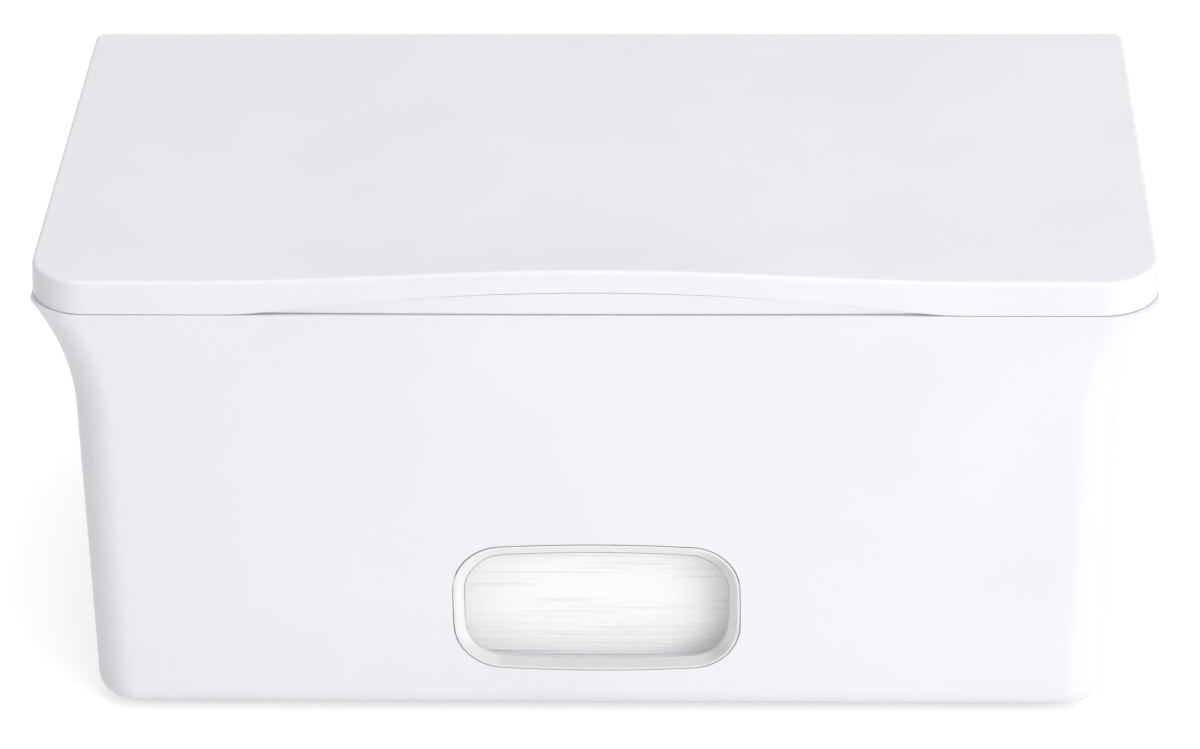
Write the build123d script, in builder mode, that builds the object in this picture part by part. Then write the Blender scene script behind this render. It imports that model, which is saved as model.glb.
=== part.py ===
from build123d import *
import math
import os

os.makedirs("parts", exist_ok=True)

# Wipes dispenser: a flared box with a hinged lid, a clear window low in the front and a
# weighted plate that rides on the stack of wipes. Millimetres. +X is right, the front
# faces -Y, +Z is up, and Z = 0 is the surface that the feet stand on.

# Driving dimensions: the shell
body_depth = 127.0
shell_height = 98.73
base_width = 221.4
flare_drop = 26.225
flare_spread = 0.5
flare_radius = 46.6
wall_lean = 1.8
shell_corner = 9.0
shell_rear_corner = 6.0
bottom_round = 5.0
shell_wall = 2.4
shell_floor = 2.4

# Driving dimensions: the lid
lid_skirt_height = 7.42
lid_draft = 0.4
lid_corner = 12.8
lid_rear_corner = 3.0
lid_edge_round = 1.0
lid_skirt_wall = 1.5
lid_top_wall = 2.0
seam_gap = 0.2
brow_rise = 2.75
brow_half_span = 86.0
brow_depth = 32.0
brow_sections = 13
arch_half_span = 72.5
arch_rise = 5.15
arch_blend = 70.0
arch_run_out = 20.0

# Driving dimensions: the hinge
hinge_radius = 3.3
hinge_curl_wall = 1.5
hinge_bore_radius = 1.55
hinge_pin_radius = 1.5
hinge_end_inset = 34.3
knuckle_length = 14.0
barrel_length = 11.6
knuckle_gap = 0.4
hinge_trough_gap = 0.4
hinge_web_gap = 0.6
lid_end_length = 4.0
open_angle = 105.0
open_stop_gap = 0.3

# Driving dimensions: the rim frame
shadow_gap = 0.25
tongue_half_span = 70.0
tongue_gap = 0.18
tongue_inset = 0.36
tongue_bow = 0.5
collar_gap = 0.3
collar_wall = 2.0
collar_height = 4.17
collar_rear_gap = 0.5
collar_rear_corner = 2.0
deck_thickness = 1.6
mouth_front_ledge = 2.7
mouth_rear_ledge = 2.0
mouth_corner = 9.0
chute_wall = 1.6
chute_depth = 12.0
chute_gap = 0.6
ledge_thickness = 1.6
ledge_gap = 0.4

# Driving dimensions: the window
window_width = 62.6
window_height = 32.35
window_corner = 11.0
window_bow = 1.3
window_side_bow = 0.7
window_centre_height = 26.38
view_border = 2.63
pane_gap = 0.25
pane_lip = 0.5
pane_recess = 0.92
pane_flange_margin = 3.0
pane_flange_thickness = 1.2
pane_seat_gap = 0.1
window_gasket_thickness = 1.0
clamp_clearance = 0.2
retainer_margin = 3.5
retainer_ear = 4.0
retainer_corner = 6.0
retainer_thickness = 1.8
retainer_boss_radius = 3.0
retainer_boss_gap = 0.75
retainer_screw_inset = 4.7

# Driving dimensions: lid liner and seal
liner_thickness = 1.6
liner_drop = 2.5
liner_lip = 1.5
liner_gap = 1.2
liner_rear_gap = 1.5
liner_boss_radius = 3.5
liner_screw_inset_x = 22.3
liner_screw_inset_y = 16.5
seal_inner_overhang = 0.5

# Driving dimensions: wipes and weighted plate
stack_side_gap = 3.0
stack_rear_gap = 1.3
stack_window_gap = 0.3
stack_round = 3.0
plate_headroom = 6.58
plate_inset_x = 1.5
plate_inset_y = 2.5
plate_corner = 8.0
plate_thickness = 8.0
plate_cover_thickness = 2.2
plate_wall = 2.0
plate_floor = 1.6
plate_edge_round = 0.8
slot_length = 64.0
slot_width = 24.0
slot_tube_wall = 2.0
grommet_wall = 5.0
grommet_flange = 2.5
grommet_flange_height = 1.0
grommet_gap = 0.1
bar_gap = 3.0
bar_inset_y = 12.5
bar_thickness = 3.6
bar_corner = 3.0
plate_post_radius = 3.0
plate_screw_inset_x = 5.5
plate_screw_inset_y = 6.5

# Driving dimensions: feet and screws
foot_radius = 7.0
foot_proud = 1.8
foot_recess = 1.0
foot_gap = 0.1
foot_edge = 0.5
foot_inset_x = 20.7
foot_inset_y = 19.5
column_inset = 4.5
column_front_inset = 25.5
column_rear_inset = 29.5
column_radius = 3.0
column_rib = 1.6
column_cover = 1.0
# Countersunk screws: head radius, head height, shank radius, length
frame_screw = (2.9, 1.5, 1.5, 12.0)
retainer_screw = (2.0, 1.0, 1.0, 4.6)
liner_screw = (2.2, 1.1, 1.1, 3.2)
plate_screw = (2.2, 1.1, 1.1, 5.4)
screw_gap = 0.03
drive_recess_share = 0.62
drive_recess_width = 0.5
drive_recess_depth = 0.7

# Levels and lines that follow from them
underside = foot_proud
floor_top = underside + shell_floor
rim_level = underside + shell_height
flare_level = rim_level - flare_drop
flare_start = base_width / 2 + flare_spread
skirt_level = rim_level + seam_gap
top_level = skirt_level + lid_skirt_height
ceiling_level = top_level - lid_top_wall
deck_level = rim_level + shadow_gap
collar_top = deck_level + collar_height
half_depth = body_depth / 2
hinge_y = half_depth - hinge_radius
hinge_level = skirt_level
collar_inset = lid_skirt_wall + collar_gap
collar_rear = hinge_y - hinge_radius - collar_rear_gap
liner_level = ceiling_level - liner_drop
window_level = underside + window_centre_height
plate_top = deck_level - plate_headroom
stack_top = plate_top - plate_thickness
tray_top = plate_top - plate_cover_thickness
lean_angle = math.atan2(wall_lean, shell_height)
draft_angle = math.atan2(lid_draft, lid_skirt_height)
arch_radius = (arch_half_span**2 + arch_rise**2) / (2 * arch_rise)
past = 1.0  # how far a cutting form runs past the piece it cuts


def wall_y(level, inset=0.0):
    """Distance of the front and rear walls from the middle plane at a height."""
    return half_depth - wall_lean * (rim_level - level) / shell_height - inset


def flare_end(inset, top):
    """Angle of the flare's arc and half-width of the casing at a height."""
    swing = flare_radius + inset
    angle = math.asin((top - flare_level) / swing)
    return angle, flare_start + flare_radius - swing * math.cos(angle)


# Widths and lines that pieces share, each worked out from its neighbour
rim_half_width = flare_end(0.0, rim_level)[1]
hinge_centre_x = rim_half_width - hinge_end_inset
collar_half_width = rim_half_width - collar_inset
collar_front = collar_inset - half_depth
collar_corner = lid_corner - collar_inset
column_x = base_width / 2 - column_inset
column_front = column_front_inset - half_depth
column_rear = half_depth - column_rear_inset
mouth_half_width = column_x - column_radius - chute_gap - chute_wall
mouth_front = collar_front + collar_wall + mouth_front_ledge
mouth_rear = collar_rear - collar_wall - mouth_rear_ledge
liner_half_width = collar_half_width - collar_wall - liner_gap
liner_front = collar_front + collar_wall + liner_gap
liner_rear = collar_rear - collar_wall - liner_rear_gap
liner_corner = collar_corner - collar_wall - liner_gap
window_depth = (
    shell_wall
    + pane_seat_gap
    + pane_flange_thickness
    + window_gasket_thickness
    + retainer_thickness
)
stack_half_width = mouth_half_width - stack_side_gap
stack_front = window_depth + stack_window_gap - wall_y(underside)
stack_rear = mouth_rear - stack_rear_gap
plate_half_width = stack_half_width - plate_inset_x
plate_front = stack_front + plate_inset_y
plate_rear = stack_rear - plate_inset_y
plate_centre_y = (plate_front + plate_rear) / 2
plate_half_depth = (plate_rear - plate_front) / 2
retainer_screw_x = (
    window_width / 2 + pane_flange_margin + retainer_boss_radius + retainer_boss_gap
)
retainer_screw_y = window_height / 2 - retainer_screw_inset
plate_screw_x = plate_half_width - plate_screw_inset_x
plate_screw_y = plate_half_depth - plate_screw_inset_y
foot_x = base_width / 2 - foot_inset_x
foot_y = half_depth - foot_inset_y


def casing(inset, bottom, top):
    """The casing's form, moved inwards by inset, between two heights."""
    angle, half_top = flare_end(inset, top)
    with BuildPart() as block:
        with BuildSketch(Plane.XZ):
            with BuildLine():
                Line((0, bottom), (base_width / 2 - inset, bottom))
                Line((base_width / 2 - inset, bottom), (flare_start - inset, flare_level))
                CenterArc(
                    (flare_start + flare_radius, flare_level),
                    flare_radius + inset,
                    180,
                    -math.degrees(angle),
                )
                Line((half_top, top), (0, top))
                mirror(about=Plane.YZ)
            make_face()
        extrude(amount=half_depth, both=True)
        with BuildSketch(Plane.YZ):
            with BuildLine():
                Polyline(
                    (-wall_y(bottom, inset), bottom),
                    (wall_y(bottom, inset), bottom),
                    (wall_y(top, inset), top),
                    (-wall_y(top, inset), top),
                    close=True,
                )
            make_face()
        extrude(amount=body_depth, both=True, mode=Mode.INTERSECT)
        upright = block.edges().filter_by(lambda e: e.bounding_box().size.Z > past)
        fillet(upright.filter_by(lambda e: e.center().Y < 0), radius=shell_corner - inset)
        upright = block.edges().filter_by(
            lambda e: e.bounding_box().size.Z > past and e.center().Y > half_depth / 2
        )
        fillet(upright, radius=shell_rear_corner - inset)
        fillet(block.edges().group_by(Axis.Z)[0], radius=bottom_round - inset)
    return block.part


def plan(half_width, front, rear, front_corner, rear_corner):
    """Rounded plan outline between a front and a rear line."""
    with BuildSketch() as face:
        with Locations((0, (front + rear) / 2)):
            Rectangle(2 * half_width, rear - front)
        fillet(face.vertices().group_by(Axis.Y)[0], radius=front_corner)
        fillet(face.vertices().group_by(Axis.Y)[-1], radius=rear_corner)
    return face.sketch


def window_outline(grow):
    """The window's bowed outline, made larger all round by grow."""
    half_w = window_width / 2 + grow
    half_h = window_height / 2 + grow
    corner_x = half_w - window_side_bow
    corner_y = half_h - window_bow
    with BuildSketch() as face:
        with BuildLine():
            ThreePointArc((-corner_x, corner_y), (0, half_h), (corner_x, corner_y))
            ThreePointArc((corner_x, corner_y), (half_w, 0), (corner_x, -corner_y))
            ThreePointArc((corner_x, -corner_y), (0, -half_h), (-corner_x, -corner_y))
            ThreePointArc((-corner_x, -corner_y), (-half_w, 0), (-corner_x, corner_y))
        make_face()
        fillet(face.vertices(), radius=window_corner + grow)
    return face.sketch


def screw_blank(size, grow=0.0):
    """Countersunk screw, head up at the origin, or its hole when grow is more than 0."""
    head_radius, head_height, shank_radius, length = size
    with BuildPart() as blank:
        with BuildSketch(Plane.XZ):
            with BuildLine():
                Polyline(
                    (0, 0),
                    (head_radius + grow, 0),
                    (shank_radius + grow, -head_height),
                    (shank_radius + grow, -length - grow),
                    (0, -length - grow),
                    close=True,
                )
            make_face()
        revolve(axis=Axis.Z)
    return blank.part


def screw(size):
    """Countersunk screw with a cross recess."""
    with BuildPart() as driven:
        add(screw_blank(size))
        with BuildSketch():
            Rectangle(2 * size[0] * drive_recess_share, drive_recess_width)
            Rectangle(drive_recess_width, 2 * size[0] * drive_recess_share)
        extrude(amount=-drive_recess_depth, mode=Mode.SUBTRACT)
    return driven.part


# Places that several pieces share
window_plane = Plane(
    origin=(0, -wall_y(window_level), window_level),
    x_dir=(1, 0, 0),
    z_dir=(0, -math.cos(lean_angle), -math.sin(lean_angle)),
)
flange_plane = window_plane.offset(-(shell_wall + pane_seat_gap))
gasket_plane = flange_plane.offset(-pane_flange_thickness)
retainer_plane = gasket_plane.offset(-window_gasket_thickness)
retainer_back = retainer_plane.offset(-retainer_thickness)
retainer_drive = Plane(
    origin=retainer_back.origin, x_dir=(1, 0, 0), z_dir=-window_plane.z_dir
)
retainer_spots = [
    (sx * retainer_screw_x, sy * retainer_screw_y) for sx in (-1, 1) for sy in (-1, 1)
]
column_spots = [(sx * column_x, y) for sx in (-1, 1) for y in (column_front, column_rear)]
liner_spots = [
    (sx * (liner_half_width - liner_screw_inset_x), y)
    for sx in (-1, 1)
    for y in (liner_front + liner_screw_inset_y, liner_rear - liner_screw_inset_y)
]
plate_spots = [
    (sx * plate_screw_x, plate_centre_y + sy * plate_screw_y)
    for sx in (-1, 1)
    for sy in (-1, 1)
]
foot_spots = {
    "front_left": (-foot_x, -foot_y),
    "front_right": (foot_x, -foot_y),
    "rear_left": (-foot_x, foot_y),
    "rear_right": (foot_x, foot_y),
}
sides = {"left": -1, "right": 1}
deck_top_plane = Plane.XY.offset(deck_level + deck_thickness)

# Screw columns and their ribs, trimmed to the casing so that nothing shows outside
with BuildPart() as columns:
    with BuildSketch(Plane.XY.offset(underside + shell_floor / 2)):
        with Locations(*column_spots):
            Circle(column_radius)
        for side in (-1, 1):
            for y in (column_front, column_rear):
                with Locations((side * (column_x + rim_half_width) / 2, y)):
                    Rectangle(rim_half_width - column_x, column_rib)
    extrude(amount=rim_level - underside - shell_floor / 2)
    add(casing(column_cover, underside + column_cover, rim_level), mode=Mode.INTERSECT)
    with BuildSketch(Plane.XY.offset(rim_level - past)):
        with Locations(*column_spots):
            Circle(column_radius)
    extrude(amount=deck_level - rim_level + past)

# Clearance for the lid's rolled rear edge, and the sloped rest that stops the open lid
stop = math.radians(open_angle)
stop_reach = hinge_radius + open_stop_gap


def stop_level(dy):
    return hinge_level - (stop_reach - math.cos(stop) * dy) / math.sin(stop)


with BuildPart() as hinge_clearance:
    with BuildSketch(Plane.YZ):
        with Locations((hinge_y, hinge_level)):
            Circle(hinge_radius + hinge_trough_gap)
        with BuildLine():
            Polyline(
                (hinge_y, hinge_level + past),
                (hinge_y, stop_level(0.0)),
                (half_depth + past, stop_level(hinge_radius + past)),
                (half_depth + past, hinge_level + past),
                close=True,
            )
        make_face()
    extrude(amount=rim_half_width + past, both=True)

# Outer shell
with BuildPart() as outer_shell:
    add(casing(0.0, underside, rim_level))
    add(casing(shell_wall, floor_top, rim_level + past), mode=Mode.SUBTRACT)
    add(columns.part)
    with BuildSketch(retainer_plane):
        with Locations(*retainer_spots):
            Circle(retainer_boss_radius)
    extrude(amount=window_gasket_thickness + pane_flange_thickness + shell_wall / 2)
    with BuildSketch(window_plane.offset(past)):
        add(window_outline(0.0))
    extrude(amount=-(shell_wall + 2 * past), mode=Mode.SUBTRACT)
    add(hinge_clearance.part, mode=Mode.SUBTRACT)
    with BuildSketch(Plane.XY.offset(underside)):
        with Locations(*foot_spots.values()):
            Circle(foot_radius + foot_gap)
    extrude(amount=foot_recess, mode=Mode.SUBTRACT)
    with Locations(*[retainer_drive.location * Location((x, y, 0)) for x, y in retainer_spots]):
        add(screw_blank(retainer_screw, screw_gap), mode=Mode.SUBTRACT)
    with Locations(*[deck_top_plane.location * Location((x, y, 0)) for x, y in column_spots]):
        add(screw_blank(frame_screw, screw_gap), mode=Mode.SUBTRACT)
outer_shell.part.label = "outer_shell"
export_step(outer_shell.part, "parts/outer_shell.step")

# Rim frame: collar, deck round the mouth, chute, hinge ledge and knuckles
collar_hollow = plan(
    collar_half_width - collar_wall,
    collar_front + collar_wall,
    collar_rear - collar_wall,
    collar_corner - collar_wall,
    collar_rear_corner / 2,
)
ledge_top = hinge_level - hinge_radius - hinge_web_gap
ledge_rear = wall_y(ledge_top, shell_wall) - ledge_gap
ledge_half_width = flare_end(shell_wall, ledge_top - ledge_thickness)[1] - ledge_gap


def tongue_top(x):
    """Height of the tongue's upper edge, a gap below the lid's arched edge."""
    arch_centre = skirt_level + arch_rise - arch_radius
    return arch_centre + math.sqrt((arch_radius - tongue_gap) ** 2 - x**2)


# Tongue that fills the lid's arch, a little behind the skirt and bowed forward
with BuildPart() as tongue:
    with BuildSketch(Plane.XZ.offset(half_depth)):
        with BuildLine():
            Polyline(
                (tongue_half_span, tongue_top(tongue_half_span)),
                (tongue_half_span, deck_level),
                (-tongue_half_span, deck_level),
                (-tongue_half_span, tongue_top(tongue_half_span)),
            )
            ThreePointArc(
                (-tongue_half_span, tongue_top(tongue_half_span)),
                (0, tongue_top(0.0)),
                (tongue_half_span, tongue_top(tongue_half_span)),
            )
        make_face()
    extrude(amount=-collar_inset)
    with BuildSketch(Plane.XY.offset(deck_level)):
        with BuildLine():
            tongue_side = -half_depth + tongue_inset + tongue_bow
            ThreePointArc(
                (-tongue_half_span, tongue_side),
                (0, -half_depth + tongue_inset),
                (tongue_half_span, tongue_side),
            )
            Polyline(
                (tongue_half_span, tongue_side),
                (tongue_half_span, collar_front),
                (-tongue_half_span, collar_front),
                (-tongue_half_span, tongue_side),
            )
        make_face()
    extrude(amount=lid_skirt_height, mode=Mode.INTERSECT)

with BuildPart() as rim_frame:
    with BuildSketch(Plane.XY.offset(deck_level)):
        add(
            plan(collar_half_width, collar_front, collar_rear, collar_corner, collar_rear_corner)
        )
    extrude(amount=collar_height)
    with BuildSketch(deck_top_plane):
        add(collar_hollow)
    extrude(amount=collar_height, mode=Mode.SUBTRACT)
    with BuildSketch(Plane.XY.offset(deck_level - chute_depth)):
        add(
            plan(
                mouth_half_width + chute_wall,
                mouth_front - chute_wall,
                mouth_rear + chute_wall,
                mouth_corner + chute_wall,
                mouth_corner + chute_wall,
            )
        )
    extrude(amount=chute_depth)
    with BuildSketch(Plane.XY.offset(ledge_top - ledge_thickness)) as ledge:
        with Locations((0, (collar_rear - collar_wall + ledge_rear) / 2)):
            Rectangle(2 * ledge_half_width, ledge_rear - collar_rear + collar_wall)
        fillet(
            ledge.vertices().group_by(Axis.Y)[-1],
            radius=shell_rear_corner - shell_wall - ledge_gap,
        )
    extrude(amount=ledge_thickness)
    with BuildSketch(Plane.XY.offset(ledge_top - ledge_thickness)):
        with Locations((0, collar_rear - collar_wall / 2)):
            Rectangle(2 * ledge_half_width, collar_wall)
    extrude(amount=deck_level + deck_thickness - ledge_top + ledge_thickness)
    add(tongue.part)
    for side in sides.values():
        with BuildSketch(Plane.YZ.offset(side * hinge_centre_x)):
            with Locations((hinge_y, hinge_level)):
                Circle(hinge_radius)
            with Locations(((collar_rear + hinge_y) / 2, (ledge_top + hinge_level) / 2)):
                Rectangle(hinge_y - collar_rear, hinge_level - ledge_top)
        extrude(amount=knuckle_length / 2, both=True)
        with BuildSketch(Plane.YZ.offset(side * hinge_centre_x)):
            with Locations((hinge_y, hinge_level)):
                Circle(hinge_pin_radius + screw_gap)
        extrude(amount=knuckle_length, both=True, mode=Mode.SUBTRACT)
    with BuildSketch(Plane.XY.offset(deck_level - chute_depth)):
        add(plan(mouth_half_width, mouth_front, mouth_rear, mouth_corner, mouth_corner))
    extrude(amount=chute_depth + deck_thickness, mode=Mode.SUBTRACT)
    with Locations(*[deck_top_plane.location * Location((x, y, 0)) for x, y in column_spots]):
        add(screw_blank(frame_screw, screw_gap), mode=Mode.SUBTRACT)
rim_frame.part.label = "rim_frame"
export_step(rim_frame.part, "parts/rim_frame.step")

with BuildPart() as frame_screws:
    with Locations(*[deck_top_plane.location * Location((x, y, 0)) for x, y in column_spots]):
        add(screw(frame_screw))
frame_screws.part.label = "frame_screws"
export_step(frame_screws.part, "parts/frame_screws.step")

# Window: clear pane with a sloped border, its seal, and the ring that clamps both
with BuildPart() as window_pane:
    with BuildSketch(window_plane):
        add(window_outline(-pane_gap))
    extrude(amount=-(shell_wall + pane_seat_gap))
    with BuildSketch(flange_plane):
        add(window_outline(pane_flange_margin))
    extrude(amount=-pane_flange_thickness)
    with BuildSketch(window_plane):
        add(window_outline(-pane_gap - pane_lip))
    with BuildSketch(window_plane.offset(-pane_recess)):
        add(window_outline(-view_border))
    loft(ruled=True, mode=Mode.SUBTRACT)
window_pane.part.label = "window_pane"
export_step(window_pane.part, "parts/window_pane.step")

with BuildPart() as window_gasket:
    with BuildSketch(gasket_plane):
        add(window_outline(pane_flange_margin))
        add(window_outline(clamp_clearance), mode=Mode.SUBTRACT)
    extrude(amount=-window_gasket_thickness)
window_gasket.part.label = "window_gasket"
export_step(window_gasket.part, "parts/window_gasket.step")

with BuildPart() as window_retainer:
    with BuildSketch(retainer_plane):
        RectangleRounded(
            2 * (retainer_screw_x + retainer_ear),
            window_height + 2 * retainer_margin,
            retainer_corner,
        )
        add(window_outline(clamp_clearance), mode=Mode.SUBTRACT)
    extrude(amount=-retainer_thickness)
    with Locations(*[retainer_drive.location * Location((x, y, 0)) for x, y in retainer_spots]):
        add(screw_blank(retainer_screw, screw_gap), mode=Mode.SUBTRACT)
window_retainer.part.label = "window_retainer"
export_step(window_retainer.part, "parts/window_retainer.step")

with BuildPart() as retainer_screws:
    with Locations(*[retainer_drive.location * Location((x, y, 0)) for x, y in retainer_spots]):
        add(screw(retainer_screw))
retainer_screws.part.label = "retainer_screws"
export_step(retainer_screws.part, "parts/retainer_screws.step")

# Feet, pressed into recesses in the underside
for name, (x, y) in foot_spots.items():
    with BuildPart() as foot:
        with BuildSketch():
            with Locations((x, y)):
                Circle(foot_radius)
        extrude(amount=foot_proud + foot_recess)
        chamfer(foot.edges().group_by(Axis.Z)[0], length=foot_edge)
    foot.part.label = "foot_" + name
    export_step(foot.part, "parts/foot_" + name + ".step")

# Wipes, as one soft block
with BuildPart() as wipes_stack:
    with BuildSketch(Plane.XY.offset(floor_top)):
        add(plan(stack_half_width, stack_front, stack_rear, stack_round, stack_round))
    extrude(amount=stack_top - floor_top)
wipes_stack.part.label = "wipes_stack"
export_step(wipes_stack.part, "parts/wipes_stack.step")

# Hinge pins
pin_length = knuckle_length + 2 * knuckle_gap + 2 * barrel_length - 2 * hinge_curl_wall
for name, side in sides.items():
    with BuildPart() as pin:
        with BuildSketch(Plane.YZ.offset(side * hinge_centre_x)):
            with Locations((hinge_y, hinge_level)):
                Circle(hinge_pin_radius)
        extrude(amount=pin_length / 2, both=True)
    pin.part.label = "hinge_pin_" + name
    export_step(pin.part, "parts/hinge_pin_" + name + ".step")

# Rolled rear edge of the lid: a thin curl, solid barrels at the hinges, closed ends
lid_outline = plan(rim_half_width, -half_depth, half_depth, lid_corner, lid_rear_corner)
barrel_offset = (knuckle_length + barrel_length) / 2 + knuckle_gap
with BuildPart() as lid_envelope:
    with BuildSketch(Plane.XY.offset(skirt_level)):
        add(lid_outline)
    extrude(amount=lid_skirt_height, taper=math.degrees(draft_angle))
    with BuildSketch(Plane.XY.offset(skirt_level)):
        add(lid_outline)
    extrude(amount=-2 * hinge_radius)
with BuildPart() as rolled_edge:
    with BuildSketch(Plane.YZ):
        with Locations((hinge_y, hinge_level)):
            Circle(hinge_radius)
            Circle(hinge_radius - hinge_curl_wall, mode=Mode.SUBTRACT)
            Rectangle(
                2 * hinge_radius, 2 * hinge_radius, align=(Align.MIN, Align.MAX), mode=Mode.INTERSECT
            )
    extrude(amount=rim_half_width, both=True)
    for side in sides.values():
        solid_runs = [
            (hinge_centre_x - barrel_offset, barrel_length),
            (hinge_centre_x + barrel_offset, barrel_length),
            (rim_half_width - lid_end_length / 2, lid_end_length),
        ]
        for centre, length in solid_runs:
            with BuildSketch(Plane.YZ.offset(side * centre)):
                with Locations((hinge_y, hinge_level)):
                    Circle(hinge_radius)
            extrude(amount=length / 2, both=True)
    add(lid_envelope.part, mode=Mode.INTERSECT)

# Brow: the front of the top rises to the middle in a smooth swell
brow_rear = -half_depth + brow_depth


def brow_height(x):
    return brow_rise * (1 + math.cos(math.pi * x / brow_half_span)) / 2


def skirt_front(level):
    """The lid's front face at a height, which leans back with the draft."""
    return -half_depth + (level - skirt_level) * math.tan(draft_angle)


with BuildPart() as brow:
    for index in range(brow_sections):
        x = brow_half_span * (2 * index / (brow_sections - 1) - 1)
        rise = brow_height(x)
        foot = (skirt_front(ceiling_level), ceiling_level)
        crest = (skirt_front(top_level + rise), top_level + rise)
        run = brow_rear - crest[0]
        with BuildSketch(Plane.YZ.offset(x)) as section:
            with BuildLine():
                Line(foot, crest)
                if rise > 1e-6:
                    JernArc(
                        (brow_rear, top_level),
                        (-1, 0),
                        (run**2 + rise**2) / (2 * rise),
                        -math.degrees(2 * math.atan2(rise, run)),
                    )
                else:
                    Line((brow_rear, top_level), crest)
                Line((brow_rear, top_level), (brow_rear, ceiling_level))
                Line((brow_rear, ceiling_level), foot)
            make_face()
            fillet(section.vertices().sort_by_distance((*crest, 0))[0], radius=lid_edge_round)
    loft()

# Lid cover
with BuildPart() as lid_cover:
    with BuildSketch(Plane.XY.offset(skirt_level)):
        add(lid_outline)
    extrude(amount=lid_skirt_height, taper=math.degrees(draft_angle))
    fillet(lid_cover.edges().group_by(Axis.Z)[-1], radius=lid_edge_round)
    with BuildSketch(Plane.XY.offset(ceiling_level)):
        with Locations((0, (brow_rear - half_depth) / 2)):
            Rectangle(2 * brow_half_span, brow_depth)
    extrude(amount=lid_skirt_height, mode=Mode.SUBTRACT)
    with BuildSketch(Plane.XY.offset(skirt_level - past)):
        add(
            plan(
                rim_half_width - lid_skirt_wall,
                -half_depth + lid_skirt_wall,
                half_depth - lid_skirt_wall,
                lid_corner - lid_skirt_wall,
                lid_rear_corner - lid_skirt_wall,
            )
        )
    extrude(amount=ceiling_level - skirt_level + past, mode=Mode.SUBTRACT)
    add(brow.part)
    add(rolled_edge.part)
    with BuildSketch(Plane.XY.offset(liner_level + liner_thickness)):
        with Locations(*liner_spots):
            Circle(liner_boss_radius)
    extrude(amount=ceiling_level - liner_level - liner_thickness)
    with BuildSketch(Plane.XZ.offset(half_depth - lid_skirt_wall - collar_gap / 2)) as arch:
        with BuildLine():
            Polyline(
                (arch_half_span, skirt_level),
                (arch_half_span + arch_run_out, skirt_level),
                (arch_half_span + arch_run_out, skirt_level - past),
                (-arch_half_span - arch_run_out, skirt_level - past),
                (-arch_half_span - arch_run_out, skirt_level),
                (-arch_half_span, skirt_level),
            )
            ThreePointArc(
                (-arch_half_span, skirt_level),
                (0, skirt_level + arch_rise),
                (arch_half_span, skirt_level),
            )
        make_face()
        tips = arch.vertices().group_by(lambda v: abs(v.X))[0]
        fillet(tips, radius=arch_blend)
    extrude(amount=lid_skirt_wall + past, mode=Mode.SUBTRACT)
    for side in sides.values():
        with BuildSketch(Plane.YZ.offset(side * hinge_centre_x)):
            with Locations((hinge_y, hinge_level)):
                Rectangle(
                    2 * (hinge_radius + past),
                    2 * (hinge_radius + hinge_trough_gap),
                )
        extrude(amount=knuckle_length / 2 + knuckle_gap, both=True, mode=Mode.SUBTRACT)
        with BuildSketch(Plane.YZ.offset(side * hinge_centre_x)):
            with Locations((hinge_y, hinge_level)):
                Circle(hinge_bore_radius)
        extrude(amount=pin_length / 2 + knuckle_gap, both=True, mode=Mode.SUBTRACT)
    with Locations(*[Location((x, y, liner_level), (180, 0, 0)) for x, y in liner_spots]):
        add(screw_blank(liner_screw, screw_gap), mode=Mode.SUBTRACT)
lid_cover.part.label = "lid_cover"
export_step(lid_cover.part, "parts/lid_cover.step")

# Lid liner: a panel with a raised lip, screwed up into the lid's bosses
with BuildPart() as lid_liner:
    with BuildSketch(Plane.XY.offset(liner_level)):
        add(plan(liner_half_width, liner_front, liner_rear, liner_corner, liner_corner / 2))
    extrude(amount=liner_drop)
    with BuildSketch(Plane.XY.offset(liner_level + liner_thickness)):
        add(
            plan(
                liner_half_width - liner_lip,
                liner_front + liner_lip,
                liner_rear - liner_lip,
                liner_corner - liner_lip,
                liner_corner / 2 - liner_lip,
            )
        )
    extrude(amount=liner_drop, mode=Mode.SUBTRACT)
    with Locations(*[Location((x, y, liner_level), (180, 0, 0)) for x, y in liner_spots]):
        add(screw_blank(liner_screw, screw_gap), mode=Mode.SUBTRACT)
lid_liner.part.label = "lid_liner"
export_step(lid_liner.part, "parts/lid_liner.step")

with BuildPart() as liner_screws:
    with Locations(*[Location((x, y, liner_level), (180, 0, 0)) for x, y in liner_spots]):
        add(screw(liner_screw))
liner_screws.part.label = "liner_screws"
export_step(liner_screws.part, "parts/liner_screws.step")

with BuildPart() as lid_gasket:
    seal_inner = collar_wall + seal_inner_overhang
    with BuildSketch(Plane.XY.offset(collar_top)):
        add(
            plan(collar_half_width, collar_front, collar_rear, collar_corner, collar_rear_corner)
        )
        add(
            plan(
                collar_half_width - seal_inner,
                collar_front + seal_inner,
                collar_rear - seal_inner,
                collar_corner - seal_inner,
                collar_rear_corner / 2,
            ),
            mode=Mode.SUBTRACT,
        )
    extrude(amount=ceiling_level - collar_top)
lid_gasket.part.label = "lid_gasket"
export_step(lid_gasket.part, "parts/lid_gasket.step")

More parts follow.
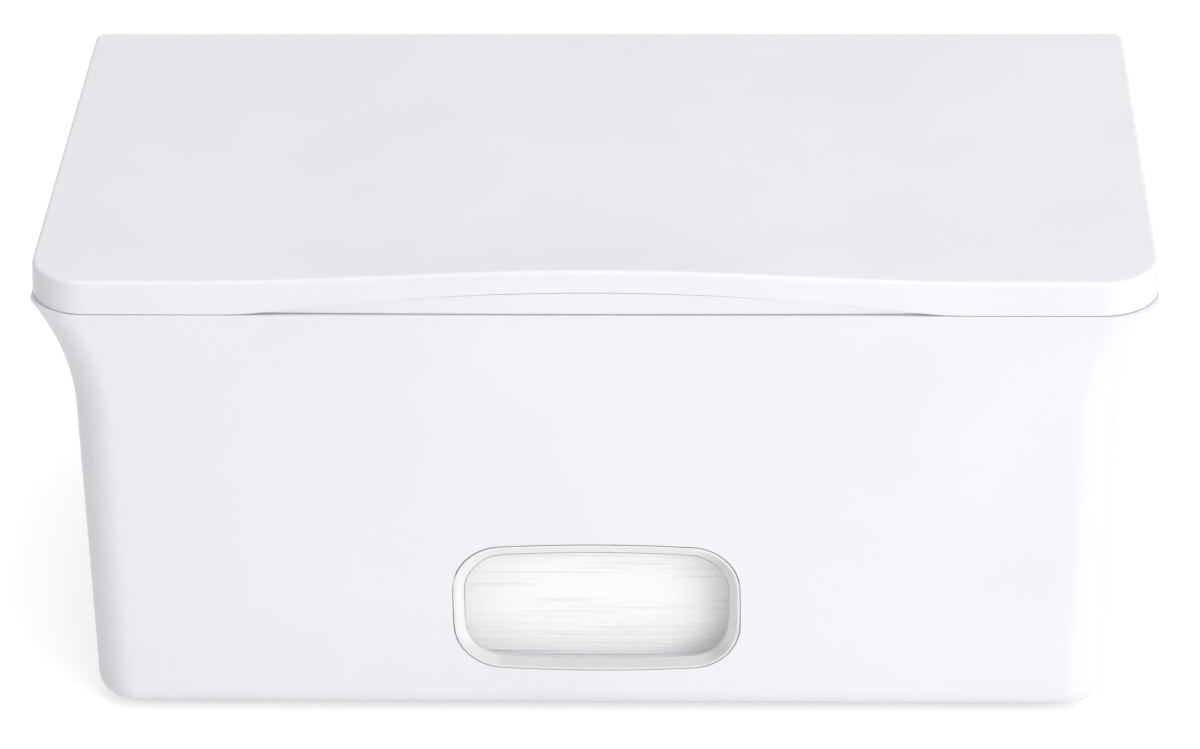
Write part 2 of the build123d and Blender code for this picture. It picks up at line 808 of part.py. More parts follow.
# Weighted plate: tray and cover with steel bars between them
plate_outline = plan(plate_half_width, plate_front, plate_rear, plate_corner, plate_corner)
with BuildSketch() as slot_hole:
    with Locations((0, plate_centre_y)):
        SlotOverall(slot_length, slot_width)
with BuildPart() as plate_tray:
    with BuildSketch(Plane.XY.offset(stack_top)):
        add(plate_outline)
    extrude(amount=tray_top - stack_top)
    fillet(plate_tray.edges().group_by(Axis.Z)[0], radius=plate_edge_round)
    with BuildSketch(Plane.XY.offset(stack_top + plate_floor)):
        add(
            plan(
                plate_half_width - plate_wall,
                plate_front + plate_wall,
                plate_rear - plate_wall,
                plate_corner - plate_wall,
                plate_corner - plate_wall,
            )
        )
        with Locations((0, plate_centre_y)):
            SlotOverall(
                slot_length + 2 * slot_tube_wall, slot_width + 2 * slot_tube_wall, mode=Mode.SUBTRACT
            )
    extrude(amount=plate_thickness, mode=Mode.SUBTRACT)
    with BuildSketch(Plane.XY.offset(stack_top - past)):
        add(slot_hole.sketch)
    extrude(amount=plate_thickness + 2 * past, mode=Mode.SUBTRACT)
    with Locations(*[Location((x, y, stack_top), (180, 0, 0)) for x, y in plate_spots]):
        add(screw_blank(plate_screw, screw_gap), mode=Mode.SUBTRACT)
plate_tray.part.label = "plate_tray"
export_step(plate_tray.part, "parts/plate_tray.step")

with BuildPart() as plate_cover:
    with BuildSketch(Plane.XY.offset(tray_top)):
        add(plate_outline)
    extrude(amount=plate_cover_thickness)
    fillet(plate_cover.edges().group_by(Axis.Z)[-1], radius=plate_edge_round)
    with BuildSketch(Plane.XY.offset(stack_top + plate_floor)):
        with Locations(*plate_spots):
            Circle(plate_post_radius)
    extrude(amount=tray_top - stack_top - plate_floor)
    with BuildSketch(Plane.XY.offset(tray_top - past)):
        add(slot_hole.sketch)
    extrude(amount=plate_cover_thickness + 2 * past, mode=Mode.SUBTRACT)
    with Locations(*[Location((x, y, stack_top), (180, 0, 0)) for x, y in plate_spots]):
        add(screw_blank(plate_screw, screw_gap), mode=Mode.SUBTRACT)
plate_cover.part.label = "plate_cover"
export_step(plate_cover.part, "parts/plate_cover.step")

with BuildPart() as plate_screws:
    with Locations(*[Location((x, y, stack_top), (180, 0, 0)) for x, y in plate_spots]):
        add(screw(plate_screw))
plate_screws.part.label = "plate_screws"
export_step(plate_screws.part, "parts/plate_screws.step")

with BuildPart() as slot_grommet:
    with BuildSketch(Plane.XY.offset(stack_top)):
        with Locations((0, plate_centre_y)):
            SlotOverall(slot_length - 2 * grommet_gap, slot_width - 2 * grommet_gap)
    extrude(amount=plate_thickness)
    with BuildSketch(Plane.XY.offset(plate_top)):
        with Locations((0, plate_centre_y)):
            SlotOverall(slot_length + 2 * grommet_flange, slot_width + 2 * grommet_flange)
    extrude(amount=grommet_flange_height)
    with BuildSketch(Plane.XY.offset(stack_top - past)):
        with Locations((0, plate_centre_y)):
            SlotOverall(slot_length - 2 * grommet_wall, slot_width - 2 * grommet_wall)
    extrude(amount=plate_thickness + 2 * past, mode=Mode.SUBTRACT)
slot_grommet.part.label = "slot_grommet"
export_step(slot_grommet.part, "parts/slot_grommet.step")

bar_inner = slot_length / 2 + slot_tube_wall + bar_gap
bar_outer = plate_screw_x - plate_post_radius - bar_gap
for name, side in sides.items():
    with BuildPart() as bar:
        with BuildSketch(Plane.XY.offset(stack_top + plate_floor)):
            with Locations((side * (bar_inner + bar_outer) / 2, plate_centre_y)):
                RectangleRounded(
                    bar_outer - bar_inner, 2 * (plate_half_depth - bar_inset_y), bar_corner
                )
        extrude(amount=bar_thickness)
    bar.part.label = "weight_bar_" + name
    export_step(bar.part, "parts/weight_bar_" + name + ".step")
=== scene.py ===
# %% [markdown]
# # Countertop wipes dispenser
# A white plastic box for folded wipes: a flared tub with a clear window low in its front,
# a hinged lid with a raised brow, and a weighted plate that rides on the wipes. The solids
# come from the CAD frame, already in place and in metres. This script gives them their
# surfaces, models the wipes, which are soft, and sets the camera, the floor and the lamps.
# The frame is loaded first. The finished looks must stay inside it.

# %% The frame
import math

import bmesh
import bpy
from mathutils import Matrix, Vector, noise


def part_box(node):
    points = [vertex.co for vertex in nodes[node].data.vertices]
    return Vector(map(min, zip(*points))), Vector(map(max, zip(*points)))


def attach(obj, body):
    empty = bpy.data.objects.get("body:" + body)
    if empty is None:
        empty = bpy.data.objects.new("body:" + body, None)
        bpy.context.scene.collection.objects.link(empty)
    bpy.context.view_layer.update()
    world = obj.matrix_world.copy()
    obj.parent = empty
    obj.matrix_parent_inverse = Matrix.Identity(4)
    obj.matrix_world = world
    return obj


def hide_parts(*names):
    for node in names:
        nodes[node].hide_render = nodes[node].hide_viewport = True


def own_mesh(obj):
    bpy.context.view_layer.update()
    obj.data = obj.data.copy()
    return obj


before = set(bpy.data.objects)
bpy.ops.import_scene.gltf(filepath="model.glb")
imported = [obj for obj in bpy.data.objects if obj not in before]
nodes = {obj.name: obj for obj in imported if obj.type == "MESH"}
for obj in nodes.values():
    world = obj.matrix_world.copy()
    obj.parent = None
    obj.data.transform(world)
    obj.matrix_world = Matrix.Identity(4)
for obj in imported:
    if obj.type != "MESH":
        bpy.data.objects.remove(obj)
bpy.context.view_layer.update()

MM = 0.001

# %% [markdown]
# ## The camera
# The photograph looks down on the front from a little right of the middle, with a long
# lens. The eye point, the three angles and the lens were found by fitting the box's
# corners to the picture. A camera could be aimed with a constraint, but writing its three
# axes into a matrix says exactly how far it turns, dips and leans, so that is done here.

# %% The camera
eye = Vector((33.599, -950.937, 569.112)) * MM
turn, dip, lean = (math.radians(angle) for angle in (-2.0686, 28.5182, -0.8674))

forward = Vector((math.sin(turn) * math.cos(dip), math.cos(turn) * math.cos(dip), -math.sin(dip)))
level = Vector((math.cos(turn), -math.sin(turn), 0.0))
upright = level.cross(forward)
camera_right = level * math.cos(lean) + upright * math.sin(lean)
camera_up = upright * math.cos(lean) - level * math.sin(lean)

camera = bpy.data.objects.new("camera", bpy.data.cameras.new("camera"))
bpy.context.scene.collection.objects.link(camera)
camera.data.sensor_fit = "HORIZONTAL"
camera.data.sensor_width = 36.0
camera.data.lens = 143.726
camera.data.clip_start, camera.data.clip_end = 0.01, 20.0
camera.matrix_world = Matrix((camera_right, camera_up, -forward)).transposed().to_4x4()
camera.location = eye
bpy.context.scene.camera = camera
print("camera at", [round(v, 3) for v in camera.location])

# %% [markdown]
# ## Writing shaders as sums
# A surface here is a few formulas: a grain plus a stain, a mask times a colour. Dragging
# nodes would hide those formulas, so a small class stands for one output of a node, and
# adding or multiplying two of them adds the Math node that does it.


# %% One number of a shader
class Signal:
    """One output of a node, with arithmetic that adds Math nodes."""

    def __init__(self, finish, socket):
        self.finish = finish
        self.socket = socket

    def math(self, operation, *values):
        settings = {"operation": operation}
        return self.finish.node("ShaderNodeMath", settings, dict(enumerate(values)))

    def __add__(self, other):
        return self.math("ADD", self, other)

    def __radd__(self, other):
        return self.math("ADD", other, self)

    def __sub__(self, other):
        return self.math("SUBTRACT", self, other)

    def __rsub__(self, other):
        return self.math("SUBTRACT", other, self)

    def __mul__(self, other):
        return self.math("MULTIPLY", self, other)

    def __rmul__(self, other):
        return self.math("MULTIPLY", other, self)

    def __truediv__(self, other):
        return self.math("DIVIDE", self, other)

    def __rtruediv__(self, other):
        return self.math("DIVIDE", other, self)

    def __pow__(self, other):
        return self.math("POWER", self, other)

    def __neg__(self):
        return self.math("MULTIPLY", self, -1.0)

    def __abs__(self):
        return self.math("ABSOLUTE", self)

    def at_least(self, other):
        """The larger of the two, which also joins two masks."""
        return self.math("MAXIMUM", self, other)

    def at_most(self, other):
        """The smaller of the two."""
        return self.math("MINIMUM", self, other)

    def step(self, low, high):
        """A smooth change from 0 at low to 1 at high."""
        settings = {"interpolation_type": "SMOOTHSTEP"}
        sockets = {"Value": self, "From Min": low, "From Max": high}
        return self.finish.node("ShaderNodeMapRange", settings, sockets)


print("a Signal adds, multiplies and compares")

# %% [markdown]
# ## One class for the nodes
# The second class holds the node tree of one material, or of the room around the box. Its
# node method makes any node from a type, settings and sockets, and the short methods after
# it name what this object's surfaces need: a place, a direction, a grain, a blend of two
# colours, a bump. Patterns are laid on Object coordinates, in millimetres, which move with
# a piece, so that its grain doesn't slide when its body moves.


# %% Shader nodes
class Finish:
    """The nodes of one material, or of the world."""

    def __init__(self, owner):
        owner.use_nodes = True
        self.owner = owner
        self.tree = owner.node_tree
        self.tree.nodes.clear()

    def node(self, kind, settings=None, sockets=None, output=0):
        """Any node: its settings first, then a value or a link for each socket."""
        made = self.tree.nodes.new(kind)
        for name, value in (settings or {}).items():
            setattr(made, name, value)
        for name, value in (sockets or {}).items():
            if isinstance(value, Signal):
                self.tree.links.new(value.socket, made.inputs[name])
            else:
                made.inputs[name].default_value = value
        return Signal(self, made.outputs[output]) if made.outputs else None

    def place(self, scale=(1.0, 1.0, 1.0)):
        """Object coordinates, in millimetres, stretched by scale."""
        found = self.node("ShaderNodeTexCoord", output="Object")
        sockets = {"Vector": found, "Scale": [s / MM for s in scale]}
        return self.node("ShaderNodeMapping", None, sockets)

    def axis(self, vector, index):
        """The X, Y or Z of a vector, for an index of 0, 1 or 2."""
        return self.node("ShaderNodeSeparateXYZ", None, {0: vector}, output=index)

    def towards(self, vector, direction):
        """How far a vector goes in a direction."""
        settings = {"operation": "DOT_PRODUCT"}
        return self.node("ShaderNodeVectorMath", settings, {0: vector, 1: direction}, output=1)

    def grain(self, size, detail=3.0, stretch=(1.0, 1.0, 1.0), rough=0.5):
        """Noise from 0 to 1 with features about size millimetres across."""
        sockets = {
            "Vector": self.place(stretch),
            "Scale": 1.0 / size,
            "Detail": detail,
            "Roughness": rough,
        }
        return self.node("ShaderNodeTexNoise", None, sockets)

    def blend(self, share, low, high):
        """The colour low where share is 0, and high where it is 1."""
        sockets = {0: share, 6: (*low, 1.0), 7: (*high, 1.0)}
        return self.node("ShaderNodeMix", {"data_type": "RGBA"}, sockets, output=2)

    def relief(self, height, depth):
        """A bump whose highest point stands depth millimetres proud."""
        sockets = {"Height": height, "Distance": depth * MM, "Strength": 1.0}
        return self.node("ShaderNodeBump", None, sockets)

    def finished(self, sockets):
        """Ends the material in a Principled shader with these sockets."""
        shader = self.node("ShaderNodeBsdfPrincipled", None, sockets)
        self.node("ShaderNodeOutputMaterial", None, {"Surface": shader})
        return self.owner


print("a Finish places, grains, blends and bumps")

# %% [markdown]
# ## Smooth shading for CAD solids
# A CAD solid arrives as loose triangles, each shaded flat, so its fillets show facets.
# Changing the mesh is not allowed, and not needed: a Weld modifier joins the corners, an
# Edge Split keeps the real edges sharp, and Weighted Normal lets the large flat faces
# decide the shading where they meet a fillet, so that they stay flat to the eye.

# %% Dressing a CAD node
weld_reach = 0.002
sharp_angle = 32.0
normal_weight = 50


def dress(name, finish, split=sharp_angle):
    """Gives a node its material, and smooth shading that stops at edges over split degrees."""
    piece = nodes[name]
    for slot in piece.material_slots:
        slot.material = finish
    piece.data.polygons.foreach_set("use_smooth", [True] * len(piece.data.polygons))
    weld = piece.modifiers.new("weld", "WELD")
    weld.merge_threshold = weld_reach * MM
    parting = piece.modifiers.new("edges", "EDGE_SPLIT")
    parting.split_angle = math.radians(split)
    normals = piece.modifiers.new("normals", "WEIGHTED_NORMAL")
    normals.mode = "FACE_AREA"
    normals.weight = normal_weight
    normals.keep_sharp = True
    print(name, "wears", finish.name)


# %% [markdown]
# ## White moulded plastic
# The tub and lid are ABS from a mould with a fine spark-eroded texture: almost plain white
# with a cool cast, a satin sheen, and a grain that is felt more than seen. One recipe
# serves every moulded piece. A broad, weak noise keeps the white from looking painted,
# another changes the sheen a little where hands have polished it, and the fine grain goes
# into the bump.

# %% Moulded plastic
cloud_size, cloud_shade = 46.0, 0.975
handled_size = 17.0
mould_depth = 0.006


def moulded_plastic(name, colour, sheen, grain_size=0.35):
    finish = Finish(bpy.data.materials.new(name))
    cloud = finish.grain(cloud_size, detail=2.0)
    fine = finish.grain(grain_size, detail=2.0)
    handled = finish.grain(handled_size, detail=3.0)
    shade = [c * cloud_shade for c in colour]
    return finish.finished(
        {
            "Base Color": finish.blend(cloud.step(0.3, 0.7), shade, colour),
            "Roughness": sheen + (handled - 0.5) * 0.12 + (fine - 0.5) * 0.08,
            "Normal": finish.relief(fine + cloud * 0.2, mould_depth),
            "Specular IOR Level": 0.42,
        }
    )


white = (0.816, 0.828, 0.854)
frame_white = (0.822, 0.834, 0.856)
plate_white = (0.79, 0.805, 0.83)

dress("outer_shell", moulded_plastic("shell_plastic", white, sheen=0.42))
dress("lid_cover", moulded_plastic("lid_plastic", white, sheen=0.38))

frame_plastic = moulded_plastic("frame_plastic", frame_white, sheen=0.45)
for name in ("rim_frame", "window_retainer", "lid_liner"):
    dress(name, frame_plastic)

plate_plastic = moulded_plastic("plate_plastic", plate_white, sheen=0.48, grain_size=0.5)
for name in ("plate_tray", "plate_cover"):
    dress(name, plate_plastic)

# %% [markdown]
# ## Where the window is
# The window is a rounded rectangle with slightly bulged sides, in a front wall that leans
# back a little towards its foot. Its material needs two measures of that shape: the
# direction in which the window looks, and the distance of a point from its outline. The
# distance is the usual one to a rounded rectangle, on sides that bulge as the window's do.

# %% The window's shape
half_depth, rim_level = 63.5, 100.53
wall_lean, wall_height = 1.8, 98.73
half_width, half_height, corner_radius = 31.3, 16.175, 11.0
bulge_up, bulge_out = 1.3, 0.7

window_low, window_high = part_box("window_pane")
window_middle = (window_low + window_high) / (2 * MM)
lean_angle = math.atan2(wall_lean, wall_height)
window_facing = Vector((0.0, -math.cos(lean_angle), -math.sin(lean_angle)))
wall_front = half_depth - wall_lean * (rim_level - window_middle.z) / wall_height
front_plane = Vector((0.0, -wall_front, window_middle.z)).dot(window_facing)


def rim_distance(finish):
    """Millimetres from the window's outline, less than 0 inside it."""
    place = finish.place()
    x = abs(finish.axis(place, 0) - window_middle.x)
    z = abs(finish.axis(place, 2) - window_middle.z)
    bulged_x = half_width - (z / half_height) ** 2.0 * bulge_out
    bulged_z = half_height - (x / half_width) ** 2.0 * bulge_up
    past_x = x - bulged_x + corner_radius
    past_z = z - bulged_z + corner_radius
    out_x = past_x.at_least(0.0)
    out_z = past_z.at_least(0.0)
    outside = (out_x * out_x + out_z * out_z) ** 0.5
    inside = past_x.at_least(past_z).at_most(0.0)
    return outside + inside - corner_radius


print("the window's middle is", round(window_middle.z, 2), "mm up, its wall", round(wall_front, 2))

# %% [markdown]
# ## Clear plastic
# The pane is polished clear plastic. Real refraction would make the wipes behind it dark
# and noisy, so the pane lets light straight through by its Alpha and keeps its gloss. What
# shows in clear plastic is its thickness. The flat view area is nearly invisible. The
# border that slopes down to it is painted grey, as painted shade: most where it faces up or
# left, most of all at the lower right where it does both, and less where it hangs over the
# view area. The side walls of the pane are hidden in the casing and stay pale but for a
# little of that painted grey. Thin dark lines of painted shade are drawn at the foot and the
# top of the slope, the one at the foot darker towards the top of the window. The direction
# of a face, read from its own normal, drives the painted grey, and the distance from the
# window's outline draws the painted lines. The slope meets the flat at only 26 degrees, so
# the pane's edges are kept sharp from a smaller angle than on the other pieces.

# %% Clear plastic
# Millimetres, inwards from the wall's plane or from the window's outline
skin_depth, skin_blur = 1.3, 0.3
lip_width, lip_blur = 0.7, 0.2
slope_foot, slope_top = 2.6, 0.75
foot_line_half, top_line_half = (0.1, 0.26), (0.03, 0.16)
line_fade = 9.0

# Cosines: a face that looks straight out has 1, the slope 0.9 and a side wall 0
looks_out, looks_aside = (0.92, 0.985), (0.1, 0.6)
tilted, hanging = (0.1, 0.35), (0.1, 0.5)

# the grey of the painted shade on the border, its lines and the side walls
clear_white, painted_shade_grey = (0.9, 0.902, 0.908), (0.36, 0.36, 0.35)
pane_sharp_angle = 15.0


def clear_plastic(name):
    finish = Finish(bpy.data.materials.new(name))
    normal = finish.node("ShaderNodeTexCoord", output="Normal")
    place = finish.place()

    # the border's slope, and its parts that face up, left and down, which carry painted shade
    squareness = abs(finish.towards(normal, window_facing))
    leftward = -finish.axis(normal, 0)
    upward = finish.axis(normal, 2)
    sloped = 1.0 - squareness.step(*looks_out)
    painted_shade_below = sloped * upward.step(*tilted)
    painted_shade_beside = sloped * leftward.step(*tilted)
    painted_shade_hooded = sloped * (-upward).step(*hanging)
    painted_shade_up_left = painted_shade_below.at_least(painted_shade_beside)
    painted_side_shade = 1.0 - squareness.step(*looks_aside)

    # the flat lip and the two thin dark lines of painted shade, on the pane's front skin alone
    skin_back = front_plane - skin_depth
    front = finish.towards(place, window_facing).step(skin_back - skin_blur, skin_back)
    away = rim_distance(finish)
    lip = front * away.step(-lip_width - lip_blur, -lip_width)
    # painted shade: the line at the foot of the slope is drawn darker towards the top of the
    # window
    high = (finish.axis(place, 2) - window_middle.z).step(-line_fade, line_fade)
    painted_foot_line = 1.0 - abs(away + slope_foot).step(*foot_line_half)
    painted_top_line = 1.0 - abs(away + slope_top).step(*top_line_half)
    painted_lines = front * (painted_foot_line * (0.55 + high * 0.45)).at_least(painted_top_line * 0.25)

    border = sloped.at_least(lip)
    # painted shade: the slope turns grey where it faces up or left, most at the lower right, a
    # little where it hangs over the view and on the side walls
    painted_shade = painted_shade_up_left * 0.45 + painted_shade_below * painted_shade_beside * 0.34 + painted_shade_hooded * 0.2 + painted_side_shade * 0.1
    polish = finish.grain(9.0, detail=2.0)
    # the Alpha makes the painted grey and the painted lines opaque enough to show
    return finish.finished(
        {
            "Base Color": finish.blend(painted_lines.at_least(painted_shade), clear_white, painted_shade_grey),
            "Roughness": 0.06 + polish * 0.04,
            "Alpha": 0.03 + border * 0.7 + painted_shade_up_left * 0.22 + painted_side_shade * 0.1 + painted_lines * 0.6,
            "IOR": 1.49,
        }
    )


dress("window_pane", clear_plastic("clear_plastic"), split=pane_sharp_angle)

# %% [markdown]
# ## Seals and feet
# The seals are pale grey silicone with a soft sheen, and the feet a darker rubber with a
# pebbled skin. Both draw dust, which is a paler and duller patch here and there.


# %% Silicone and rubber
def soft_rubber(name, colour, sheen, pebble_size, pebble_depth):
    finish = Finish(bpy.data.materials.new(name))
    pebble = finish.grain(pebble_size, detail=3.0)
    dust = finish.grain(6.0, detail=4.0).step(0.45, 0.8)
    dusty = [min(1.0, c * 1.12) for c in colour]
    return finish.finished(
        {
            "Base Color": finish.blend(dust, colour, dusty),
            "Roughness": sheen + dust * 0.12,
            "Normal": finish.relief(pebble, pebble_depth),
        }
    )


seal_silicone = soft_rubber(
    "seal_silicone", (0.66, 0.665, 0.66), sheen=0.5, pebble_size=0.8, pebble_depth=0.01
)
foot_rubber = soft_rubber(
    "foot_rubber", (0.30, 0.30, 0.31), sheen=0.62, pebble_size=0.5, pebble_depth=0.03
)
for name in nodes:
    if name.endswith("_gasket") or name == "slot_grommet":
        dress(name, seal_silicone)
    elif name.startswith("foot_"):
        dress(name, foot_rubber)

# %% [markdown]
# ## Screws, pins and bars
# The screws are zinc plated, which shows as a faint mottle of tone. The hinge pins and the
# two bars in the plate are plain ground steel, with fine scratches along their length. A
# noise that is squeezed in one direction draws such scratches: along X on the pins, and
# along Y on the bars.


# %% Steel
def ground_steel(name, colour, sheen, stretch):
    finish = Finish(bpy.data.materials.new(name))
    scratch = finish.grain(0.25, detail=4.0, stretch=stretch, rough=0.65)
    mottle = finish.grain(3.0, detail=2.0)
    dull = [c * 0.86 for c in colour]
    return finish.finished(
        {
            "Base Color": finish.blend(mottle * 0.6 + scratch * 0.4, dull, colour),
            "Metallic": 1.0,
            "Roughness": sheen + scratch * 0.14,
            "Normal": finish.relief(scratch, 0.004),
        }
    )


screw_steel = ground_steel("screw_steel", (0.68, 0.68, 0.66), 0.3, (1.0, 1.0, 1.0))
pin_steel = ground_steel("pin_steel", (0.72, 0.72, 0.71), 0.22, (0.08, 1.0, 1.0))
bar_steel = ground_steel("bar_steel", (0.56, 0.56, 0.55), 0.34, (1.0, 0.06, 1.0))
for name in nodes:
    if name.endswith("_screws"):
        dress(name, screw_steel)
    elif name.startswith("hinge_pin"):
        dress(name, pin_steel)
    elif name.startswith("weight_bar"):
        dress(name, bar_steel)

# %% [markdown]
# ## How the wipes lie
# About eighty wipes lie folded on each other, each a soft pad a millimetre thick whose
# front fold bulges a little. No two lie exactly over each other, and some folds sag or
# gape, which is what shows as faint level lines through the window. Smooth noise along the
# outline says how far each fold stands back, and where the gap between two wipes opens. A
# layer number of its own gives every wipe its own slice of that noise, so the stack comes
# out the same each time.

# %% Folds and gaps
wipe_count = 80
close_gap, open_gap = 0.08, 0.5
fold_wander = 0.4
gap_threshold = 0.12
fold_length, ripple_length, gap_length, sag_length = 47.0, 12.0, 21.0, 30.0


def wave(place, size, layer):
    """Smooth noise, from about -1 to 1, with features about size millimetres long."""
    return noise.noise(Vector((place.x / (size * MM), place.y / (size * MM), layer)))


def fold_offset(place, index):
    """How far one wipe's fold stands back at a place on the outline, in millimetres."""
    along = wave(place, fold_length, index * 0.61)
    ripple = wave(place, ripple_length, index * 3.17 + 40.0)
    whole = noise.noise(Vector((0.5, 0.5, index * 0.83 + 90.0)))
    return fold_wander * (0.5 + 0.5 * whole + 0.4 * along + 0.12 * ripple)


def gap_depth(place, index):
    """Most wipes lie close, and here and there a gap opens for a few centimetres."""
    opened = wave(place, gap_length, index * 5.77 + 200.0)
    return close_gap + open_gap * min(1.0, max(0.0, opened - gap_threshold) * 3.0)


print("wipes:", wipe_count, "folds that wander", fold_wander, "mm")

# %% [markdown]
# ## Loops around the stack
# The stack could be eighty separate pads, but they would hide all but their edges, and
# pads that touch are hard to keep from cutting into each other. So it is one skin: a
# rounded outline at the bottom is extruded upwards four times for each wipe, and each new
# loop is pushed in or out, in at the gap between two wipes and out at the fold. The three
# helpers here start the outline, raise a loop and shape it.

# %% Loops of the stack
stack_low, stack_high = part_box("wipes_stack")
stack_middle = (stack_low + stack_high) / 2
stack_half = (stack_high - stack_low) / 2
stack_corner, outline_step = 3.0, 2.4
wipe_pitch = (stack_high.z - stack_low.z) / wipe_count
fold_sag = 0.16 * wipe_pitch

# The loops of one wipe: a height as a share of the pitch, and a share of the gap's depth
wipe_profile = [(0.0, 1.0), (0.24, 0.22), (0.5, 0.0), (0.76, 0.22)]


def start_outline(bm):
    """The stack's outline at its foot: one rounded face with its long edges divided."""
    bmesh.ops.create_grid(bm, x_segments=1, y_segments=1, size=0.5)
    bmesh.ops.scale(bm, vec=(2 * stack_half.x, 2 * stack_half.y, 1.0), verts=bm.verts)
    foot = Vector((stack_middle.x, stack_middle.y, stack_low.z))
    bmesh.ops.translate(bm, vec=foot, verts=bm.verts)
    bmesh.ops.bevel(
        bm,
        geom=list(bm.verts),
        offset=stack_corner * MM,
        segments=4,
        profile=0.5,
        affect="VERTICES",
        material=-1,
    )
    spacing = outline_step * MM
    for edge in [e for e in bm.edges if e.calc_length() > 4 * spacing]:
        cuts = int(edge.calc_length() / spacing)
        bmesh.ops.subdivide_edges(bm, edges=[edge], cuts=cuts)


def raise_loop(bm, loop, home):
    """Extrudes a loop, and hands on each vertex's place on the outline to the one over it."""
    grown = bmesh.ops.extrude_edge_only(bm, edges=loop)["geom"]
    raised = [g for g in grown if isinstance(g, bmesh.types.BMEdge)]
    fresh = {vert for edge in raised for vert in edge.verts}
    raised_home = {}
    for vert in fresh:
        ends = [edge.other_vert(vert) for edge in vert.link_edges]
        under = next(end for end in ends if end not in fresh)
        raised_home[vert] = home[under]
    return raised, raised_home


def shape_loop(home, index, share, back):
    """Puts a loop at its height and pushes it in from the outline."""
    height = stack_low.z + wipe_pitch * (index + share)
    from_ends = min(index, wipe_count - 1 - index)
    sag = fold_sag * min(1.0, from_ends / 2.0)
    for vert, place in home.items():
        inwards = (back * gap_depth(place, index) + fold_offset(place, index)) * MM
        out = place - stack_middle
        vert.co = Vector(
            (
                stack_middle.x + out.x * (1.0 - inwards / stack_half.x),
                stack_middle.y + out.y * (1.0 - inwards / stack_half.y),
                height + sag * wave(place, sag_length, index * 0.9),
            )
        )


print("each wipe is", round(wipe_pitch / MM, 3), "mm thick")

# %% [markdown]
# ## Building the stack
# Each wipe gets its four loops, from the floor of the box up to the plate. A last face
# closes the top, a little raised inside its edge, as the top wipe bulges. The face has
# hundreds of corners, so it is cut into triangles.

# %% The stack of wipes
top_rim, top_rise = 1.2, 0.15


def build_wipes():
    bm = bmesh.new()
    start_outline(bm)
    home = {vert: vert.co.copy() for vert in bm.verts}
    loop = [edge for edge in bm.edges if edge.is_boundary]
    for index in range(wipe_count):
        for share, back in wipe_profile:
            if index or share:
                loop, home = raise_loop(bm, loop, home)
            shape_loop(home, index, share, back)
    top = bmesh.ops.contextual_create(bm, geom=loop)["faces"]
    bmesh.ops.inset_region(bm, faces=top, thickness=top_rim * MM, depth=top_rise * MM)
    bmesh.ops.triangulate(bm, faces=top)
    bmesh.ops.recalc_face_normals(bm, faces=bm.faces)
    mesh = bpy.data.meshes.new("wipes")
    bm.to_mesh(mesh)
    bm.free()
    return mesh


wipes = bpy.data.objects.new("wipes", build_wipes())
bpy.context.scene.collection.objects.link(wipes)
wipes.data.polygons.foreach_set("use_smooth", [True] * len(wipes.data.polygons))
print("wipes:", len(wipes.data.polygons), "faces")

# %% [markdown]
# ## Non-woven cloth
# A wipe is a felt of fine fibres without a weave: soft, white, quite matt. Two noises drawn
# out in different directions stand for the fibres, and a broad one for damp patches, where
# the cloth lies closer and looks a touch darker. The cloth is also given a very faint glow,
# painted light that stands in for the light scattered through the moist felt and brightens
# the wipes inside the box.

# %% Cloth of the wipes
damp_white, dry_white = (0.93, 0.938, 0.95), (0.955, 0.963, 0.975)


def nonwoven_cloth(name):
    finish = Finish(bpy.data.materials.new(name))
    lying = finish.grain(0.35, detail=3.0, stretch=(0.12, 0.12, 1.0))
    crossing = finish.grain(0.3, detail=3.0, stretch=(1.0, 0.2, 0.4))
    fibre = lying * 0.6 + crossing * 0.4
    dry = finish.grain(14.0, detail=3.0, stretch=(0.4, 0.4, 1.6)).step(0.35, 0.75)
    return finish.finished(
        {
            "Base Color": finish.blend(dry, damp_white, dry_white),
            "Roughness": 0.86 + fibre * 0.1,
            "Normal": finish.relief(fibre, 0.05),
            # painted light: a faint glow that brightens the wipes inside the box
            "Emission Color": (1.0, 1.0, 1.0, 1.0),
            "Emission Strength": 0.05,
        }
    )


wipes.data.materials.append(nonwoven_cloth("wipe_cloth"))
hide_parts("wipes_stack")
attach(wipes, "tub")
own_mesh(wipes)

# %% [markdown]
# ## The floor and the room
# The picture has a pure white ground. The floor is a pale plane that takes the box's own
# soft shadow, and a little light of its own is added where the camera sees it, also in a
# gloss or through clear plastic, so that it meets the white of the room without a horizon
# and without more light on the box. The room is white to the same rays, and lights the box
# with less than half of that.

# %% Floor and room
floor_half_size = 4.0
floor_grey, floor_lift = 0.9, 0.42
room_light = 0.46
full_white = (1.0, 1.0, 1.0, 1.0)


def seen_rays(finish):
    """1 for rays from the camera, and for those that a gloss or clear plastic passes on."""
    straight = finish.node("ShaderNodeLightPath", output="Is Camera Ray")
    mirrored = finish.node("ShaderNodeLightPath", output="Is Glossy Ray")
    passed = finish.node("ShaderNodeLightPath", output="Is Transmission Ray")
    return straight + mirrored + passed


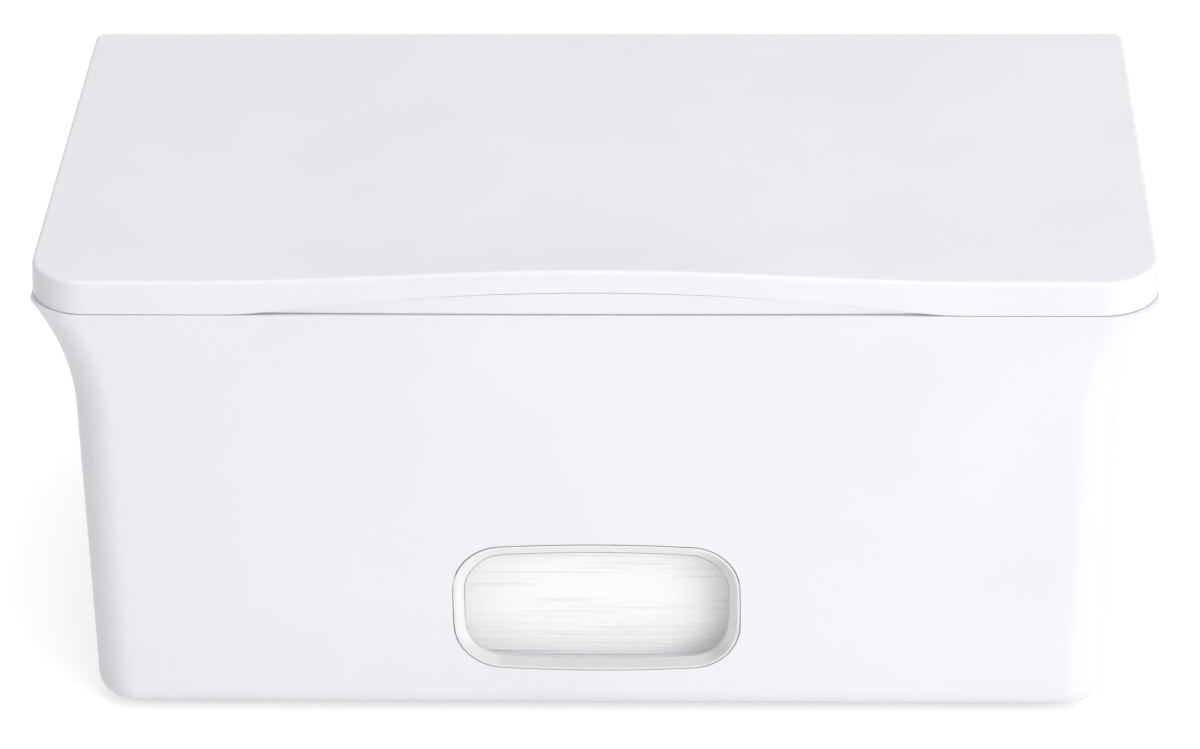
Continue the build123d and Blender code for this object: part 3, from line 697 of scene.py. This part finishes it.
bm = bmesh.new()
bmesh.ops.create_grid(bm, x_segments=1, y_segments=1, size=floor_half_size)
floor = bpy.data.objects.new("floor", bpy.data.meshes.new("floor"))
bm.to_mesh(floor.data)
bm.free()
bpy.context.scene.collection.objects.link(floor)

ground = Finish(bpy.data.materials.new("ground"))
lit = ground.node("ShaderNodeBsdfDiffuse", None, {"Color": (*[floor_grey] * 3, 1.0)})
glow = {"Color": full_white, "Strength": seen_rays(ground) * floor_lift}
lift = ground.node("ShaderNodeEmission", None, glow)
both = ground.node("ShaderNodeAddShader", None, {0: lit, 1: lift})
ground.node("ShaderNodeOutputMaterial", None, {"Surface": both})
floor.data.materials.append(ground.owner)

room = Finish(bpy.data.worlds.new("room"))
bpy.context.scene.world = room.owner
shown_white = seen_rays(room).at_most(1.0)
strength = room_light + shown_white * (1.0 - room_light)
sky = room.node("ShaderNodeBackground", None, {"Color": full_white, "Strength": strength})
room.node("ShaderNodeOutputWorld", None, {"Surface": sky})
print("floor", 2 * floor_half_size, "m wide, in a room of strength", room_light)

# %% [markdown]
# ## Lamps
# The picture is lit softly from the front and the right: the right side is brightest and
# the left corner darkest. So a broad key lamp stands in front to the right, a low one
# fills the front wall, and one over the box lights the lid. Area lamps were chosen because
# their large, near surfaces give the soft shadows of a studio. The view transform is
# Standard, so that a colour renders about as it is written.

# %% Lamps
lamp_target = Vector((0.0, 0.0, 0.05))


def softbox(name, spot, size, power):
    """A rectangular lamp at a spot, turned to the box, in metres and watts."""
    lamp = bpy.data.lights.new(name, "AREA")
    lamp.shape = "RECTANGLE"
    lamp.size, lamp.size_y = size
    lamp.energy = power
    stand = bpy.data.objects.new(name, lamp)
    bpy.context.scene.collection.objects.link(stand)
    aim = (lamp_target - Vector(spot)).normalized()
    stand.matrix_world = aim.to_track_quat("-Z", "Y").to_matrix().to_4x4()
    stand.location = spot
    print(name, power, "W")


softbox("key", spot=(1.0, -0.95, 0.55), size=(0.8, 0.7), power=7.6)
softbox("front", spot=(0.4, -1.46, 0.22), size=(1.3, 0.4), power=3.2)
softbox("over", spot=(0.15, -0.1, 1.3), size=(1.2, 1.0), power=7.4)

bpy.context.scene.view_settings.view_transform = "Standard"
